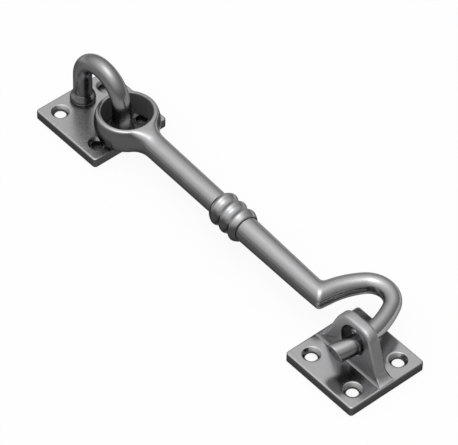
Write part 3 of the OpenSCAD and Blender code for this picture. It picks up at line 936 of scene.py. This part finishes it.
def make_floor(stage):
    """A round pale floor on the mounting plane: a disc of (radius, height) rows turned about Z.

    To the camera and in reflections it is plain white, except under covered screw holes, where it keeps its shade and
    its colour is painted darker as painted shade.
    """
    mesh = new_mesh("floor", [patch(turned([[0, FLOOR_Z], [FLOOR_R, FLOOR_Z]], ring_angles(96)))])
    floor = bpy.data.objects.new("floor", mesh)
    bpy.context.scene.collection.objects.link(floor)
    paint = bpy.data.materials.new("pale_floor")
    paint.use_nodes = True
    tree = paint.node_tree
    shader = tree.nodes["Principled BSDF"]
    shader.inputs["Roughness"].default_value = 1
    shader.inputs["Specular IOR Level"].default_value = 0
    seen = add_node(tree, "ShaderNodeLightPath", {})
    direct = number(tree, "MAXIMUM", seen["Is Camera Ray"], seen["Is Glossy Ray"])
    direct = number(tree, "MAXIMUM", direct, seen["Is Transmission Ray"])
    where = add_node(tree, "ShaderNodeTexCoord", {})["Object"]
    level, shade = stage.white, 1
    for x, y, dark in SHADED:
        away = vector(tree, "DISTANCE", where, (x * MM, y * MM, 0))
        level = number(tree, "MINIMUM", level, span(tree, away, *SHADED_SPAN, 0, stage.white, way="SMOOTHSTEP"))
        shade = number(tree, "MINIMUM", shade, span(tree, away, *SHADED_SPAN, dark, 1, way="SMOOTHSTEP"))
    reach = {"Distance": OPEN_REACH * MM}
    covered = add_node(tree, "ShaderNodeAmbientOcclusion", reach, samples=OPEN_SAMPLES)
    opened = span(tree, covered["AO"], *OPEN_SPAN, way="SMOOTHSTEP")
    level = number(tree, "MAXIMUM", level, number(tree, "MULTIPLY", opened, stage.white))
    shade = number(tree, "MAXIMUM", shade, opened)
    # Painted shade: the floor's colour is darker under covered screw holes.
    feed(tree, shader.inputs["Base Color"], vector(tree, "SCALE", stage.floor, shade))
    white = number(tree, "MULTIPLY", direct, level)
    glow = add_node(tree, "ShaderNodeEmission", {})[0]
    both = add_node(tree, "ShaderNodeMixShader", {0: white, 1: shader.outputs[0], 2: glow})
    feed(tree, tree.nodes["Material Output"].inputs["Surface"], both[0])
    mesh.materials.append(paint)


def make_sky(scene, stage):
    """Soft studio light that is brightest overhead, falls off to the horizon and is dimmer from one side."""
    world = bpy.data.worlds.new("overhead_light")
    world.use_nodes = True
    scene.world = world
    tree = world.node_tree
    sky = tree.nodes["Background"].inputs
    where = add_node(tree, "ShaderNodeTexCoord", {})["Generated"]
    brightest = SKY[-1][1]
    ramp = tree.nodes.new("ShaderNodeValToRGB")
    stops = ramp.color_ramp.elements
    while len(stops) < len(SKY):
        stops.new(0.5)
    for stop, (place, level) in zip(stops, SKY):
        stop.position = place
        stop.color = (level / brightest,) * 3 + (1,)
    full = brightest * stage.light
    aside = vector(tree, "DOT_PRODUCT", where, DIM_SIDE)
    feed(tree, ramp.inputs["Fac"], vector(tree, "DOT_PRODUCT", where, SKY_POLE))
    feed(tree, sky["Color"], ramp.outputs["Color"])
    feed(tree, sky["Strength"], span(tree, aside, *DIM_SPAN, full, full * stage.dim, way="SMOOTHSTEP"))


def make_camera(scene, stage):
    """A long lens at the photograph's viewing angle."""
    az, el = stage.azimuth, stage.elevation
    back = Vector((np.sin(az) * np.cos(el), -np.cos(az) * np.cos(el), np.sin(el)))
    right = Vector((np.cos(az), np.sin(az), 0))
    up = back.cross(right)
    across = right * np.cos(stage.roll) + up * np.sin(stage.roll)
    above = up * np.cos(stage.roll) - right * np.sin(stage.roll)
    lens = bpy.data.cameras.new("long_lens")
    lens.sensor_fit = "HORIZONTAL"
    lens.sensor_width = SENSOR
    lens.lens = stage.lens
    lens.clip_start, lens.clip_end = CLIP
    camera = bpy.data.objects.new("camera", lens)
    scene.collection.objects.link(camera)
    place = Vector((stage.aim_x, stage.aim_y, 0)) + back * stage.distance
    turn = Matrix((across, above, back)).transposed().to_4x4()
    camera.matrix_world = Matrix.Translation(place) @ turn
    scene.camera = camera


# Operators


class LATCH_OT_plates(bpy.types.Operator):
    """Build the two square plates"""

    bl_idname = "latch.plates"
    bl_label = "Plates"

    def execute(self, context):
        patches = plate_surface(Sizes(context.scene.latch_plate))
        put_piece("staple_base_plate", patches, "staple_base", "plate", "staple_plate")
        moved = [(points + [KEEP_X, KEEP_Y, 0], faces) for points, faces in patches]
        put_piece("keep_base_plate", moved, "keep", "keep_plate", "keep_plate")
        return {"FINISHED"}


class LATCH_OT_staple(bpy.types.Operator):
    """Build the staple with its feet and riveted tenons"""

    bl_idname = "latch.staple"
    bl_label = "Staple"

    def execute(self, context):
        scene = context.scene
        patches = staple_surface(Sizes(scene.latch_plate), Sizes(scene.latch_staple))
        put_piece("staple_bow", patches, "staple_base", "staple", "staple")
        return {"FINISHED"}


class LATCH_OT_arm_eye(bpy.types.Operator):
    """Build the arm's eye, neck and first shank"""

    bl_idname = "latch.arm_eye"
    bl_label = "Arm eye"

    def execute(self, context):
        patches = eye_surface(Sizes(context.scene.latch_arm))
        put_piece("arm_eye", patches, "hook_arm", "eye", "eye_shank")
        return {"FINISHED"}


class LATCH_OT_collar(bpy.types.Operator):
    """Build the beaded collar"""

    bl_idname = "latch.collar"
    bl_label = "Beaded collar"

    def execute(self, context):
        patches = collar_surface(Sizes(context.scene.latch_arm))
        put_piece("arm_collar", patches, "hook_arm", "collar", "bead_collar")
        return {"FINISHED"}


class LATCH_OT_hook(bpy.types.Operator):
    """Build the second shank, the elbow and the hook"""

    bl_idname = "latch.hook"
    bl_label = "Hook"

    def execute(self, context):
        scene = context.scene
        patches = hook_surface(Sizes(scene.latch_arm), Sizes(scene.latch_hook))
        put_piece("arm_hook", patches, "hook_arm", "arm", "hook_shank")
        return {"FINISHED"}


class LATCH_OT_keep(bpy.types.Operator):
    """Build the keep's upright with its riveted tenons"""

    bl_idname = "latch.keep"
    bl_label = "Keep upright"

    def execute(self, context):
        scene = context.scene
        patches = ear_surface(Sizes(scene.latch_plate), Sizes(scene.latch_staple), Sizes(scene.latch_keep))
        put_piece("keep_upright", patches, "keep", "keep", "keep_eye")
        return {"FINISHED"}


class LATCH_OT_stage(bpy.types.Operator):
    """Set the floor, the overhead light and the camera"""

    bl_idname = "latch.stage"
    bl_label = "Stage"

    def execute(self, context):
        scene = context.scene
        stage = scene.latch_stage
        scene.view_settings.view_transform = "Standard"
        make_floor(stage)
        make_sky(scene, stage)
        make_camera(scene, stage)
        return {"FINISHED"}


class LATCH_PT_panel(bpy.types.Panel):
    """Lists the latch's pieces and stage"""

    bl_idname = "LATCH_PT_panel"
    bl_label = "Hook and eye latch"
    bl_space_type = "VIEW_3D"
    bl_region_type = "UI"
    bl_category = "Latch"

    def draw(self, context):
        for operator in OPERATORS:
            self.layout.operator(operator.bl_idname)


OPERATORS = (
    LATCH_OT_plates,
    LATCH_OT_staple,
    LATCH_OT_arm_eye,
    LATCH_OT_collar,
    LATCH_OT_hook,
    LATCH_OT_keep,
    LATCH_OT_stage,
)
CLASSES = (*GROUPS.values(), *OPERATORS, LATCH_PT_panel)


def register():
    """Registers the classes and hangs the property groups on the scene."""
    for cls in CLASSES:
        bpy.utils.register_class(cls)
    for name, cls in GROUPS.items():
        setattr(bpy.types.Scene, name, bpy.props.PointerProperty(type=cls))


def unregister():
    """Takes back what register did."""
    for name in GROUPS:
        delattr(bpy.types.Scene, name)
    for cls in reversed(CLASSES):
        bpy.utils.unregister_class(cls)


def main():
    """Builds every piece and the stage."""
    register()
    bpy.ops.latch.plates()
    bpy.ops.latch.staple()
    bpy.ops.latch.arm_eye()
    bpy.ops.latch.collar()
    bpy.ops.latch.hook()
    bpy.ops.latch.keep()
    bpy.ops.latch.stage()
    bpy.context.view_layer.update()


if __name__ == "__main__":
    main()
